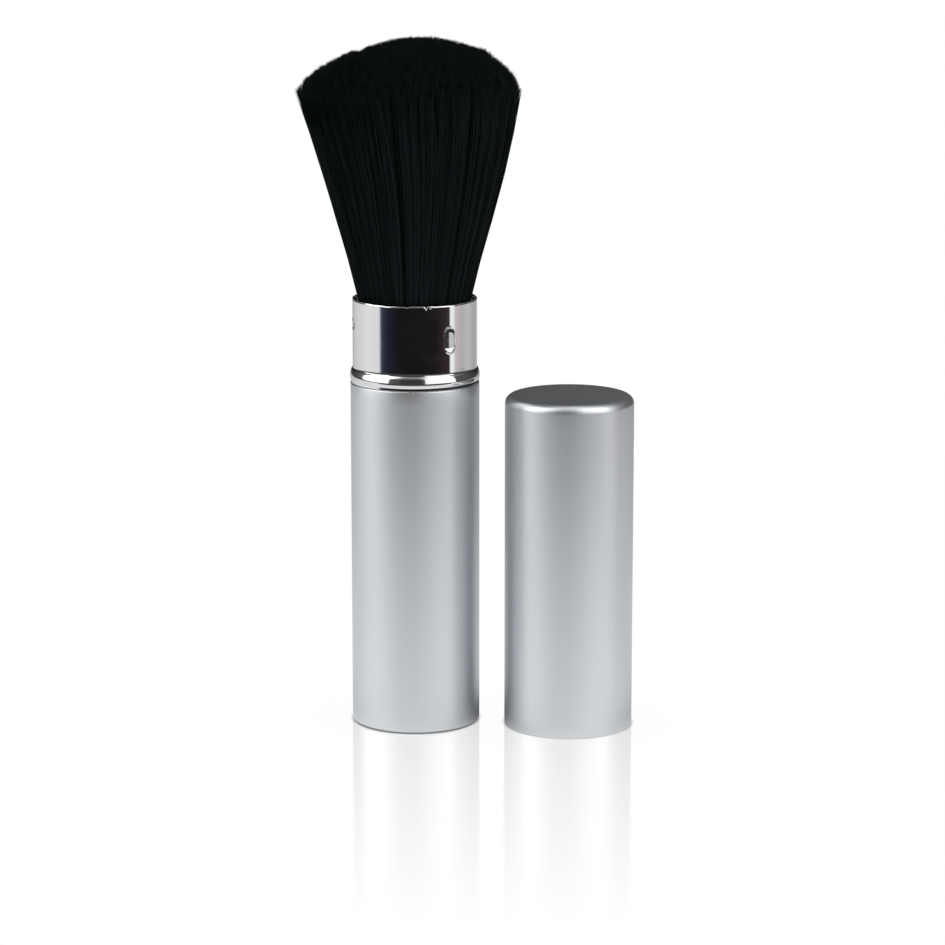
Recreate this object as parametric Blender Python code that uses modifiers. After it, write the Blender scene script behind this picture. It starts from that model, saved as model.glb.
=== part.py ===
# Retractable makeup brush: a case, a turning collar, a sliding brush head and a loose cap.
#
# The collar turns on the case and carries a slotted guide tube. Two lugs on the brush head run
# through those slots into two spiral slots fixed in the case, so turning the collar draws the
# flared hair down into the case. Metres, +Z up. The brush stands on the origin and the cap
# stands beside it with its mouth down.
import math

import bmesh
import bpy
from mathutils import Matrix, Vector

MM = 0.001

# Fits
FIT_GAP = 0.3 * MM             # between pieces that touch or slide
OVERRUN = 1.0 * MM             # how far a cutter passes the face that it cuts
MERGE = 0.005 * MM             # merge distance at the axis of a turned shape

# Case tube
BODY_DIAMETER = 22.0 * MM
BODY_HEIGHT = 59.5 * MM
BODY_WALL = 0.4 * MM
BODY_FOOT_RADIUS = 0.5 * MM

# Plug that closes the foot of the case
PLUG_FLOOR = 3.0 * MM
PLUG_CHAMFER = 0.3 * MM
HUB_HEIGHT = 3.6 * MM          # above the plug's floor
HUB_WALL = 2.4 * MM
HUB_WEB = 2.0 * MM             # what is left of the plug under the hub's bore
GROOVE_RISE = 2.0 * MM         # middle of the friction ring's groove above the floor
RING_THICKNESS = 0.7 * MM      # of the friction ring's round section

# Collar
COLLAR_WALL = 0.35 * MM
COLLAR_HEIGHT = 11.95 * MM     # above its bead
BEAD_HEIGHT = 2.2 * MM
BEAD_PROUD = 0.6 * MM
BEAD_GAP = 0.3 * MM            # between the case's mouth and the bead
SKIRT_DEPTH = 6.6 * MM         # how deep the collar reaches into the case
DIMPLE_COUNT = 3
DIMPLE_WIDTH = 3.6 * MM
DIMPLE_HEIGHT = 4.9 * MM
DIMPLE_DEPTH = 0.8 * MM
DIMPLE_RISE = 5.7 * MM         # centre above the bead
DIMPLE_TURN = math.radians(34.8)   # first dimple, from the front towards the right
BUMP_BITE_SHARE = 0.75         # of the wall that a dimple's inner bump is sunk into

# Guide tube and spiral sleeve
SLEEVE_WALL = 0.6 * MM
GUIDE_WALL = 0.5 * MM
FLANGE_HEIGHT = 1.0 * MM       # snap flange at the guide tube's foot
FLANGE_PLAY = 0.4 * MM         # above and below the flange
MOUTH_DROP = 2.5 * MM          # guide tube's mouth below the collar's rim
MOUTH_FLARE = 0.7 * MM
MOUTH_DEPTH = 2.3 * MM
SPIRAL_TURNS = 2
SPIRAL_START = math.radians(0)
LUG_RADIUS = 1.1 * MM
LUG_RISE = 1.6 * MM            # lugs above the carrier's underside
LUG_INSET = 0.2 * MM           # from the spiral sleeve's outside to a lug's end
SLOT_PLAY = 0.4 * MM           # between a lug and the side of its slot
SLOT_BRIDGE = 1.4 * MM         # wall left above the slots

# Brush head
CARRIER_REST_GAP = 0.5 * MM    # between the plug's hub and the lowered carrier
CARRIER_DISC = 4.1 * MM
CARRIER_WALL = 2.2 * MM
CARRIER_WEB = 2.0 * MM
SPIGOT_HEIGHT = 5.8 * MM
FERRULE_WALL = 0.35 * MM
FERRULE_DROP = 5.3 * MM        # ferrule's mouth below the collar's rim
ROOT_PLUG_HEIGHT = 3.7 * MM
BACKING_HEIGHT = 1.0 * MM      # slice that the hair strands are set in

# Hair
HAIR_DIAMETER = 38.0 * MM      # at its widest
HAIR_RISE = 40.2 * MM          # widest place above the ferrule's mouth
DOME_HEIGHT = 9.5 * MM         # top of the hair above its widest place
HAIR_LEAN = 1.0 * MM           # towards -X at the widest place
TIP_LENGTH = 3.0 * MM
HAIR_RINGS = 10
CORE_RINGS = 5                 # rings of strands in the inner tuft
RING_STAGGER = math.radians(137.5)   # each ring's turn against the one inside it
PARTING_SHARE = 0.3            # extra step between the tufts, of a ring's pitch
ROOT_STRAND_SHARE = 0.36       # strand radius at the root, of a ring's pitch there
WIDE_STRAND_SHARE = 0.42       # strand radius below its tip, of a ring's pitch there
STRAND_EMBED = 0.4 * MM

# Cap
CAP_HEIGHT = 57.9 * MM
CAP_WALL = 0.35 * MM
CAP_CLEARANCE = 0.05 * MM      # between the cap's bore and the collar
CAP_EDGE_RADIUS = 2.0 * MM
CAP_SPACING = 4.5 * MM         # from the case to the cap that stands beside it
CAP_BEARING = math.radians(-6.3)

# Facets
ROUND_STEPS = 48
INNER_STEPS = 36               # pieces inside the case
ARC_STEPS = 5
BEAD_STEPS = 8
SPIRAL_STEPS = 24              # per turn
SHARP_ANGLE = math.radians(35)

# Radii that follow from the fits, from the case inwards
CASE_RADIUS = BODY_DIAMETER / 2
CASE_BORE = CASE_RADIUS - BODY_WALL
SLEEVE_RADIUS = CASE_BORE - FIT_GAP
SLEEVE_BORE = SLEEVE_RADIUS - SLEEVE_WALL
GUIDE_RADIUS = SLEEVE_BORE - FIT_GAP
GUIDE_BORE = GUIDE_RADIUS - GUIDE_WALL
CARRIER_RADIUS = GUIDE_BORE - FIT_GAP
FERRULE_BORE = CARRIER_RADIUS - FERRULE_WALL
CORE_FIT_RADIUS = FERRULE_BORE - FIT_GAP
COLLAR_RADIUS = CASE_BORE
COLLAR_BORE = COLLAR_RADIUS - COLLAR_WALL
SKIRT_RADIUS = CASE_BORE - FIT_GAP
SKIRT_BORE = SKIRT_RADIUS - COLLAR_WALL
CAP_BORE = COLLAR_RADIUS + CAP_CLEARANCE
CAP_RADIUS = CAP_BORE + CAP_WALL

# Heights that follow from the fits, from the floor up
HUB_TOP = PLUG_FLOOR + HUB_HEIGHT
GUIDE_FOOT = PLUG_FLOOR + FLANGE_PLAY
SLEEVE_FOOT = GUIDE_FOOT + FLANGE_HEIGHT + FLANGE_PLAY
BEAD_FOOT = BODY_HEIGHT + BEAD_GAP
BEAD_TOP = BEAD_FOOT + BEAD_HEIGHT
RIM_TOP = BEAD_TOP + COLLAR_HEIGHT
SKIRT_FOOT = BODY_HEIGHT - SKIRT_DEPTH
SLEEVE_TOP = SKIRT_FOOT - FIT_GAP
GUIDE_TOP = RIM_TOP - MOUTH_DROP
SLOT_RADIUS = LUG_RADIUS + SLOT_PLAY
LUG_LOW = HUB_TOP + CARRIER_REST_GAP + LUG_RISE
LUG_HIGH = SLEEVE_TOP - SLOT_BRIDGE - SLOT_RADIUS
HEAD_TRAVEL = LUG_HIGH - LUG_LOW
CARRIER_FOOT = LUG_HIGH - LUG_RISE
SHOULDER = CARRIER_FOOT + CARRIER_DISC
SPIGOT_TOP = SHOULDER + SPIGOT_HEIGHT
FERRULE_FOOT = SHOULDER + FIT_GAP
FERRULE_TOP = RIM_TOP - FERRULE_DROP
ROOT_PLUG_FOOT = SPIGOT_TOP + FIT_GAP
BACKING_FOOT = ROOT_PLUG_FOOT + ROOT_PLUG_HEIGHT + FIT_GAP
BACKING_TOP = BACKING_FOOT + BACKING_HEIGHT


def new_collection(name):
    collection = bpy.data.collections.new(name)
    bpy.context.scene.collection.children.link(collection)
    return collection


def new_material(name, colour, roughness, metallic):
    material = bpy.data.materials.new(name)
    material.use_nodes = True
    shader = material.node_tree.nodes["Principled BSDF"]
    shader.inputs["Base Color"].default_value = (*colour, 1)
    shader.inputs["Roughness"].default_value = roughness
    shader.inputs["Metallic"].default_value = metallic
    return material


def new_empty(name, collection, location, parent=None):
    empty = bpy.data.objects.new(name, None)
    empty.location = location
    empty.parent = parent
    collection.objects.link(empty)
    return empty


def new_object(name, mesh, collection, parent=None):
    obj = bpy.data.objects.new(name, mesh)
    obj.parent = parent
    collection.objects.link(obj)
    return obj


def as_cutter(obj):
    obj.hide_render = True
    obj.display_type = "WIRE"
    return obj


def profile_object(name, points, closed, collection, parent=None):
    """An outline of (radius, height) points in the XZ plane, as edges."""
    mesh = bpy.data.meshes.new(name)
    edges = [(i, i + 1) for i in range(len(points) - 1)]
    if closed:
        edges.append((len(points) - 1, 0))
    mesh.from_pydata([(radius, 0, height) for radius, height in points], edges, [])
    return new_object(name, mesh, collection, parent)


def add_screw(obj, steps=ROUND_STEPS):
    screw = obj.modifiers.new("Turn", "SCREW")
    screw.axis = "Z"
    screw.angle = math.tau
    screw.steps = steps
    screw.render_steps = steps
    screw.use_merge_vertices = True
    screw.merge_threshold = MERGE
    return screw


def add_wall(obj, thickness):
    wall = obj.modifiers.new("Wall", "SOLIDIFY")
    wall.thickness = thickness
    wall.offset = -1
    wall.use_even_offset = True
    return wall


def add_boolean(obj, other, operation):
    boolean = obj.modifiers.new("Cut", "BOOLEAN")
    boolean.operation = operation
    boolean.solver = "EXACT"
    boolean.object = other
    return boolean


def settle(obj, material):
    """Apply the modifiers, give the piece its material and shade its round faces smooth."""
    bpy.context.view_layer.update()
    graph = bpy.context.evaluated_depsgraph_get()
    mesh = bpy.data.meshes.new_from_object(obj.evaluated_get(graph))
    mesh.name = obj.name
    obj.modifiers.clear()
    obj.data = mesh
    mesh.materials.clear()
    mesh.materials.append(material)
    mesh.polygons.foreach_set("material_index", [0] * len(mesh.polygons))
    mesh.shade_smooth()
    mesh.set_sharp_from_angle(angle=SHARP_ANGLE)
    return obj


def arc(centre, radius, start, end, steps):
    """Points on a circle round (radius, height) centre, angles from the +radius direction."""
    points = []
    for i in range(steps + 1):
        angle = start + (end - start) * i / steps
        points.append((centre[0] + radius * math.cos(angle),
                       centre[1] + radius * math.sin(angle)))
    return points


def front_direction(turn):
    """Unit vector at an angle from the front (-Y) towards the right (+X)."""
    return Vector((math.sin(turn), -math.cos(turn), 0))


def make_body_shell(parts, parent, material):
    foot = (CASE_RADIUS - BODY_FOOT_RADIUS, BODY_FOOT_RADIUS)
    outline = [(CASE_RADIUS, BODY_HEIGHT)]
    outline += arc(foot, BODY_FOOT_RADIUS, 0, -math.pi / 2, ARC_STEPS)
    shell = profile_object("body_shell", outline, False, parts, parent)
    add_screw(shell)
    add_wall(shell, BODY_WALL)
    return settle(shell, material)


def make_base_plug(parts, parent, material):
    plug_radius = CASE_RADIUS - BODY_FOOT_RADIUS - FIT_GAP
    hub_bore = CARRIER_RADIUS - HUB_WALL
    groove_half = RING_THICKNESS / 2 + FIT_GAP
    groove_radius = CARRIER_RADIUS - RING_THICKNESS - FIT_GAP
    groove_height = PLUG_FLOOR + GROOVE_RISE
    outline = [
        (0, HUB_WEB),
        (hub_bore, HUB_WEB),
        (hub_bore, HUB_TOP),
        (CARRIER_RADIUS, HUB_TOP),
        (CARRIER_RADIUS, groove_height + groove_half),
        (groove_radius, groove_height + groove_half),
        (groove_radius, groove_height - groove_half),
        (CARRIER_RADIUS, groove_height - groove_half),
        (CARRIER_RADIUS, PLUG_FLOOR),
        (plug_radius, PLUG_FLOOR),
        (plug_radius, PLUG_CHAMFER),
        (plug_radius - PLUG_CHAMFER, 0),
        (0, 0),
    ]
    plug = profile_object("base_plug", outline, False, parts, parent)
    add_screw(plug, INNER_STEPS)
    return settle(plug, material)


def make_friction_ring(parts, parent, material):
    section = RING_THICKNESS / 2
    centre = (CARRIER_RADIUS - section, PLUG_FLOOR + GROOVE_RISE)
    outline = arc(centre, section, math.pi / 2, -3 * math.pi / 2, BEAD_STEPS)[:-1]
    ring = profile_object("friction_ring", outline, True, parts, parent)
    add_screw(ring, INNER_STEPS)
    return settle(ring, material)


def spiral_cutter(name, start, cutters):
    """A round helix that follows a lug's way down the sleeve, made a mesh with welded caps."""
    curve = bpy.data.curves.new(name, "CURVE")
    curve.dimensions = "3D"
    curve.bevel_depth = SLOT_RADIUS
    curve.bevel_resolution = 2
    curve.use_fill_caps = True
    count = SPIRAL_TURNS * SPIRAL_STEPS
    spline = curve.splines.new("POLY")
    spline.points.add(count)
    middle = (SLEEVE_RADIUS + SLEEVE_BORE) / 2
    end_share = SLOT_RADIUS / (math.tau * SPIRAL_TURNS * middle)
    for i, point in enumerate(spline.points):
        share = -end_share + (1 + 2 * end_share) * i / count
        angle = start + math.tau * SPIRAL_TURNS * share
        height = LUG_HIGH - HEAD_TRAVEL * share
        point.co = (middle * math.cos(angle), middle * math.sin(angle), height, 1)
    source = bpy.data.objects.new(name, curve)
    cutters.objects.link(source)
    bpy.context.view_layer.update()
    graph = bpy.context.evaluated_depsgraph_get()
    mesh = bpy.data.meshes.new_from_object(source.evaluated_get(graph))
    bpy.data.objects.remove(source)
    shape = bmesh.new()
    shape.from_mesh(mesh)
    bmesh.ops.remove_doubles(shape, verts=shape.verts, dist=MERGE)
    bmesh.ops.recalc_face_normals(shape, faces=shape.faces)
    shape.to_mesh(mesh)
    shape.free()
    return as_cutter(new_object(name, mesh, cutters))


def make_spiral_sleeve(parts, cutters, parent, material):
    outline = [
        (SLEEVE_RADIUS, SLEEVE_TOP),
        (SLEEVE_RADIUS, SLEEVE_FOOT),
        (SLEEVE_BORE, SLEEVE_FOOT),
        (SLEEVE_BORE, SLEEVE_TOP),
    ]
    sleeve = profile_object("spiral_sleeve", outline, True, parts, parent)
    add_screw(sleeve, INNER_STEPS)
    for i in range(2):
        cutter = spiral_cutter(f"spiral_slot_{i + 1}", SPIRAL_START + math.pi * i, cutters)
        add_boolean(sleeve, cutter, "DIFFERENCE")
    return settle(sleeve, material)


def ellipsoid(name, radial, across, tall, turn, height, collection, keep_below=None):
    """An ellipsoid centred on the collar's outside, cut at keep_below along its own radius."""
    shape = bmesh.new()
    bmesh.ops.create_uvsphere(shape, u_segments=12, v_segments=8, radius=1)
    bmesh.ops.scale(shape, verts=shape.verts, vec=(radial, across, tall))
    bmesh.ops.translate(shape, verts=shape.verts, vec=(COLLAR_RADIUS, 0, 0))
    if keep_below is not None:
        geometry = shape.verts[:] + shape.edges[:] + shape.faces[:]
        cut = bmesh.ops.bisect_plane(shape, geom=geometry, plane_co=(keep_below, 0, 0),
                                     plane_no=(1, 0, 0), clear_outer=True)
        rim = [item for item in cut["geom_cut"] if isinstance(item, bmesh.types.BMEdge)]
        bmesh.ops.contextual_create(shape, geom=rim)
        bmesh.ops.recalc_face_normals(shape, faces=shape.faces)
    direction = front_direction(turn)
    spin = Matrix.Rotation(math.atan2(direction.y, direction.x), 4, "Z")
    bmesh.ops.transform(shape, matrix=Matrix.Translation((0, 0, height)) @ spin,
                        verts=shape.verts)
    mesh = bpy.data.meshes.new(name)
    shape.to_mesh(mesh)
    shape.free()
    return as_cutter(new_object(name, mesh, collection))


def dimple_turns():
    return [DIMPLE_TURN + math.tau * i / DIMPLE_COUNT for i in range(DIMPLE_COUNT)]


def dimple(name, grow, turn, cutters, keep_below=None):
    return ellipsoid(name, DIMPLE_DEPTH + grow, DIMPLE_WIDTH / 2 + grow,
                     DIMPLE_HEIGHT / 2 + grow, turn, BEAD_TOP + DIMPLE_RISE, cutters, keep_below)


def make_beaded_collar(parts, cutters, parent, material):
    outline = [(COLLAR_RADIUS, RIM_TOP), (COLLAR_RADIUS, BEAD_TOP)]
    for i in range(1, BEAD_STEPS):
        share = i / BEAD_STEPS
        base = COLLAR_RADIUS + (SKIRT_RADIUS - COLLAR_RADIUS) * share
        height = BEAD_TOP - BEAD_HEIGHT * (1 - math.cos(math.pi * share)) / 2
        outline.append((base + BEAD_PROUD * math.sin(math.pi * share), height))
    outline += [(SKIRT_RADIUS, BEAD_FOOT), (SKIRT_RADIUS, SKIRT_FOOT)]
    collar = profile_object("beaded_collar", outline, False, parts, parent)
    add_screw(collar)
    add_wall(collar, COLLAR_WALL)
    half_width = DIMPLE_WIDTH / 2 + COLLAR_WALL
    bump_back = math.sqrt(COLLAR_BORE ** 2 - half_width ** 2) + COLLAR_WALL * BUMP_BITE_SHARE
    for i, turn in enumerate(dimple_turns()):
        bump = dimple(f"dimple_bump_{i + 1}", COLLAR_WALL, turn, cutters, bump_back)
        add_boolean(collar, bump, "UNION")
    for i, turn in enumerate(dimple_turns()):
        add_boolean(collar, dimple(f"dimple_{i + 1}", 0, turn, cutters), "DIFFERENCE")
    return settle(collar, material)


def make_guide_tube(parts, cutters, parent, material):
    head_radius = COLLAR_BORE - FIT_GAP
    neck_radius = SKIRT_BORE - FIT_GAP
    flange_radius = (SLEEVE_RADIUS + SLEEVE_BORE) / 2
    outline = [
        (head_radius, GUIDE_TOP),
        (head_radius, BEAD_TOP + FIT_GAP),
        (neck_radius, BEAD_TOP + FIT_GAP),
        (neck_radius, SKIRT_FOOT),
        (GUIDE_RADIUS, SKIRT_FOOT),
        (GUIDE_RADIUS, GUIDE_FOOT + FLANGE_HEIGHT),
        (flange_radius, GUIDE_FOOT + FLANGE_HEIGHT),
        (flange_radius, GUIDE_FOOT),
        (GUIDE_BORE, GUIDE_FOOT),
        (GUIDE_BORE, GUIDE_TOP - MOUTH_DEPTH),
        (GUIDE_BORE + MOUTH_FLARE, GUIDE_TOP),
    ]
    tube = profile_object("guide_tube", outline, True, parts, parent)
    add_screw(tube, INNER_STEPS)
    for i, turn in enumerate(dimple_turns()):
        pocket = dimple(f"dimple_pocket_{i + 1}", COLLAR_WALL + FIT_GAP, turn, cutters)
        add_boolean(tube, pocket, "DIFFERENCE")
    slots = bmesh.new()
    bmesh.ops.create_cube(slots, size=1)
    length = LUG_HIGH - LUG_LOW + 2 * SLOT_RADIUS
    bmesh.ops.scale(slots, verts=slots.verts,
                    vec=(2 * (GUIDE_RADIUS + OVERRUN), 2 * SLOT_RADIUS, length))
    bmesh.ops.translate(slots, verts=slots.verts, vec=(0, 0, (LUG_HIGH + LUG_LOW) / 2))
    bmesh.ops.rotate(slots, verts=slots.verts, cent=(0, 0, 0),
                     matrix=Matrix.Rotation(SPIRAL_START, 3, "Z"))
    mesh = bpy.data.meshes.new("guide_slots")
    slots.to_mesh(mesh)
    slots.free()
    add_boolean(tube, as_cutter(new_object("guide_slots", mesh, cutters)), "DIFFERENCE")
    return settle(tube, material)


def make_head_carrier(parts, cutters, parent, material):
    hollow = CARRIER_RADIUS - CARRIER_WALL
    outline = [
        (0, SPIGOT_TOP),
        (CORE_FIT_RADIUS, SPIGOT_TOP),
        (CORE_FIT_RADIUS, SHOULDER),
        (CARRIER_RADIUS, SHOULDER),
        (CARRIER_RADIUS, CARRIER_FOOT),
        (hollow, CARRIER_FOOT),
        (hollow, SPIGOT_TOP - CARRIER_WEB),
        (0, SPIGOT_TOP - CARRIER_WEB),
    ]
    carrier = profile_object("head_carrier", outline, False, parts, parent)
    add_screw(carrier, INNER_STEPS)
    inner = CARRIER_RADIUS - CARRIER_WALL / 2
    outer = SLEEVE_RADIUS - LUG_INSET
    for i in range(2):
        lug = bmesh.new()
        bmesh.ops.create_cone(lug, cap_ends=True, segments=16, radius1=LUG_RADIUS,
                              radius2=LUG_RADIUS, depth=outer - inner)
        spin = Matrix.Rotation(SPIRAL_START + math.pi * i, 4, "Z")
        lay = Matrix.Rotation(math.pi / 2, 4, "Y")
        place = Matrix.Translation(((outer + inner) / 2, 0, 0))
        lift = Matrix.Translation((0, 0, LUG_HIGH))
        bmesh.ops.transform(lug, matrix=lift @ spin @ place @ lay, verts=lug.verts)
        name = f"carrier_lug_{i + 1}"
        mesh = bpy.data.meshes.new(name)
        lug.to_mesh(mesh)
        lug.free()
        add_boolean(carrier, as_cutter(new_object(name, mesh, cutters)), "UNION")
    return settle(carrier, material)


def make_ferrule(parts, parent, material):
    outline = [(CARRIER_RADIUS, FERRULE_TOP), (CARRIER_RADIUS, FERRULE_FOOT)]
    ferrule = profile_object("ferrule", outline, False, parts, parent)
    add_screw(ferrule, INNER_STEPS)
    add_wall(ferrule, FERRULE_WALL)
    return settle(ferrule, material)


def make_root_plug(parts, parent, material):
    top = ROOT_PLUG_FOOT + ROOT_PLUG_HEIGHT
    outline = [(0, top), (CORE_FIT_RADIUS, top), (CORE_FIT_RADIUS, ROOT_PLUG_FOOT),
               (0, ROOT_PLUG_FOOT)]
    plug = profile_object("root_plug", outline, False, parts, parent)
    add_screw(plug, INNER_STEPS)
    return settle(plug, material)


def ring_share(ring):
    """Where a ring of strands lies, as a share of the outermost ring's radius."""
    step = PARTING_SHARE if ring > CORE_RINGS else 0
    return (ring + step) / (HAIR_RINGS + PARTING_SHARE)


def strand_stations(share):
    """Heights, radii and strand radii of a strand, from its root to its tip."""
    pitch_share = 1 / (HAIR_RINGS + PARTING_SHARE)
    root_radius = CORE_FIT_RADIUS / (1 + ROOT_STRAND_SHARE * pitch_share)
    wide_radius = HAIR_DIAMETER / 2
    root_strand = root_radius * pitch_share * ROOT_STRAND_SHARE
    wide_strand = wide_radius * pitch_share * WIDE_STRAND_SHARE
    slope = (wide_radius - root_radius) / HAIR_RISE
    dome = (wide_radius ** 2 + DOME_HEIGHT ** 2) / (2 * DOME_HEIGHT)
    centre = HAIR_RISE + DOME_HEIGHT - dome
    # the strand is the line radius = share * (root_radius + slope * rise), up to the dome
    a = 1 + (share * slope) ** 2
    b = share ** 2 * root_radius * slope - centre
    c = (share * root_radius) ** 2 + centre ** 2 - dome ** 2
    tip = (-b + math.sqrt(b * b - a * c)) / a
    wide = tip - TIP_LENGTH
    grown = root_strand + (wide_strand - root_strand) * wide / HAIR_RISE
    stations = [(BACKING_TOP - STRAND_EMBED, root_radius * share, root_strand),
                (FERRULE_TOP, root_radius * share, root_strand),
                (FERRULE_TOP + wide, share * (root_radius + slope * wide), grown),
                (FERRULE_TOP + tip, share * (root_radius + slope * tip), 0)]
    return stations


def add_strand(shape, share, angle):
    """One three-sided strand: rings of three corners and a pointed tip."""
    rings = []
    for height, radius, strand in strand_stations(share):
        lean = -HAIR_LEAN * max(0, height - FERRULE_TOP) / HAIR_RISE
        middle = Vector((radius * math.cos(angle) + lean, radius * math.sin(angle), height))
        corners = 3 if strand else 1
        ring = []
        for i in range(corners):
            turn = angle + math.tau * i / 3
            offset = Vector((math.cos(turn), math.sin(turn), 0)) * strand
            ring.append(shape.verts.new(middle + offset))
        rings.append(ring)
    shape.faces.new(reversed(rings[0]))
    for low, high in zip(rings, rings[1:]):
        for i in range(3):
            j = (i + 1) % 3
            if len(high) == 3:
                shape.faces.new((low[i], low[j], high[j], high[i]))
            else:
                shape.faces.new((low[i], low[j], high[0]))


def make_tuft(name, first, last, inner, outer, parts, cutters, parent, material):
    """Rings of strands standing in a slice of their backing, fused to one solid."""
    if inner:
        outline = [(outer, BACKING_TOP), (outer, BACKING_FOOT),
                   (inner, BACKING_FOOT), (inner, BACKING_TOP)]
    else:
        outline = [(0, BACKING_TOP), (outer, BACKING_TOP), (outer, BACKING_FOOT),
                   (0, BACKING_FOOT)]
    tuft = profile_object(name, outline, bool(inner), parts, parent)
    add_screw(tuft, INNER_STEPS)
    shape = bmesh.new()
    for ring in range(first, last + 1):
        count = max(1, 6 * ring)
        for i in range(count):
            turn = RING_STAGGER * ring + math.tau * i / count
            add_strand(shape, ring_share(ring), turn)
    mesh = bpy.data.meshes.new(name + "_strands")
    shape.to_mesh(mesh)
    shape.free()
    add_boolean(tuft, as_cutter(new_object(name + "_strands", mesh, cutters)), "UNION")
    return settle(tuft, material)


def make_hair(parts, cutters, parent, material):
    root_radius = CORE_FIT_RADIUS / (1 + ROOT_STRAND_SHARE / (HAIR_RINGS + PARTING_SHARE))
    parting = root_radius * (ring_share(CORE_RINGS) + ring_share(CORE_RINGS + 1)) / 2
    make_tuft("hair_core", 0, CORE_RINGS, 0, parting - FIT_GAP / 2,
              parts, cutters, parent, material)
    make_tuft("hair_outer", CORE_RINGS + 1, HAIR_RINGS, parting + FIT_GAP / 2, CORE_FIT_RADIUS,
              parts, cutters, parent, material)


def make_cap_shell(parts, parent, material):
    edge = (CAP_RADIUS - CAP_EDGE_RADIUS, CAP_HEIGHT - CAP_EDGE_RADIUS)
    outline = [(0, CAP_HEIGHT)]
    outline += arc(edge, CAP_EDGE_RADIUS, math.pi / 2, 0, ARC_STEPS)
    outline.append((CAP_RADIUS, 0))
    cap = profile_object("cap_shell", outline, False, parts, parent)
    add_screw(cap)
    add_wall(cap, CAP_WALL)
    return settle(cap, material)


def main():
    for obj in list(bpy.data.objects):
        bpy.data.objects.remove(obj)
    parts = new_collection("retractable_makeup_brush")
    cutters = new_collection("cutters")

    satin = new_material("satin_aluminium", (0.62, 0.62, 0.63), 0.3, 1)
    chrome = new_material("polished_chrome", (0.75, 0.76, 0.78), 0.06, 1)
    black = new_material("black_plastic", (0.02, 0.02, 0.02), 0.4, 0)
    white = new_material("white_slide_plastic", (0.75, 0.74, 0.7), 0.35, 0)
    rubber = new_material("dark_rubber", (0.03, 0.03, 0.035), 0.7, 0)
    bare = new_material("bare_aluminium", (0.6, 0.6, 0.6), 0.4, 1)
    resin = new_material("amber_resin", (0.35, 0.2, 0.06), 0.2, 0)
    hair = new_material("black_hair", (0.012, 0.012, 0.013), 0.45, 0)

    case = new_empty("case_frame", parts, (0, 0, 0))
    collar_pivot = new_empty("collar_pivot", parts, (0, 0, 0), case)
    head_slider = new_empty("head_slider", parts, (0, 0, 0), collar_pivot)
    reach = CASE_RADIUS + CAP_SPACING + CAP_RADIUS
    stand = (reach * math.cos(CAP_BEARING), reach * math.sin(CAP_BEARING), 0)
    cap_stand = new_empty("cap_stand", parts, stand, case)

    make_body_shell(parts, case, satin)
    make_base_plug(parts, case, black)
    make_friction_ring(parts, case, rubber)
    make_spiral_sleeve(parts, cutters, case, white)
    make_beaded_collar(parts, cutters, collar_pivot, chrome)
    make_guide_tube(parts, cutters, collar_pivot, white)
    make_head_carrier(parts, cutters, head_slider, white)
    make_ferrule(parts, head_slider, bare)
    make_root_plug(parts, head_slider, resin)
    make_hair(parts, cutters, head_slider, hair)
    make_cap_shell(parts, cap_stand, satin)


main()
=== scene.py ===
import math

import bpy
import numpy as np
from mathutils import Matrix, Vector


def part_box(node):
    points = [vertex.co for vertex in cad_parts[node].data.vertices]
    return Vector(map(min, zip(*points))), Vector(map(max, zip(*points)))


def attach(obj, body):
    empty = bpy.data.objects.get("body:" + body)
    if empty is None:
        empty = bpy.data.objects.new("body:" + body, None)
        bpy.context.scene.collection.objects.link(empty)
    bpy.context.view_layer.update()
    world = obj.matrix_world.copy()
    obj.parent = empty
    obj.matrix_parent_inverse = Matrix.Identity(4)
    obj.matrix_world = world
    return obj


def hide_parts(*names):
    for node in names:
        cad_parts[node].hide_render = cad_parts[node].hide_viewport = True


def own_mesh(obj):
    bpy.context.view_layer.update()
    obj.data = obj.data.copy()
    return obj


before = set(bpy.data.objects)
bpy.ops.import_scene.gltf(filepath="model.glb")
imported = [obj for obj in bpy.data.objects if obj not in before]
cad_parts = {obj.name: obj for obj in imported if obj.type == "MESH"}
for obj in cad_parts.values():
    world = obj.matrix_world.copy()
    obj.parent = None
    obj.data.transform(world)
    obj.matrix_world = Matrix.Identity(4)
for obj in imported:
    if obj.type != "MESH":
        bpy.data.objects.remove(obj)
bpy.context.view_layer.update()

scene = bpy.context.scene
mm = 0.001
print("scene: packed model loaded")


def addNode(tree, kind, values=None, **settings):
    # values: socket name or number -> a value, or another node's output to link from
    node = tree.nodes.new(kind)
    for name, setting in settings.items():
        setattr(node, name, setting)
    for socket, value in (values or {}).items():
        if isinstance(value, bpy.types.NodeSocket):
            tree.links.new(value, node.inputs[socket])
        else:
            node.inputs[socket].default_value = value
    return node


def calc(tree, operation, first, second=None, third=None):
    values = {i: v for i, v in enumerate((first, second, third)) if v is not None}
    return addNode(tree, "ShaderNodeMath", values, operation=operation).outputs[0]


def remap(tree, value, low, high, toLow=0.0, toHigh=1.0, kind="LINEAR"):
    node = addNode(tree, "ShaderNodeMapRange", {
        "Value": value, "From Min": low, "From Max": high, "To Min": toLow, "To Max": toHigh,
    }, interpolation_type=kind)
    return node.outputs["Result"]


def mixColour(tree, factor, first, second):
    # sockets 6 and 7 are the two colours of a Mix node
    node = addNode(tree, "ShaderNodeMix", {0: factor, 6: first, 7: second}, data_type="RGBA")
    return node.outputs[2]


def ramp(tree, value, stops):
    node = addNode(tree, "ShaderNodeValToRGB", {0: value})
    elements = node.color_ramp.elements
    while len(elements) > 1:
        elements.remove(elements[-1])
    for i, (place, colour) in enumerate(stops):
        element = elements[0] if i == 0 else elements.new(place)
        element.position = place
        element.color = (*colour, 1) if isinstance(colour, tuple) else (colour, colour, colour, 1)
    return node.outputs[0]


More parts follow.
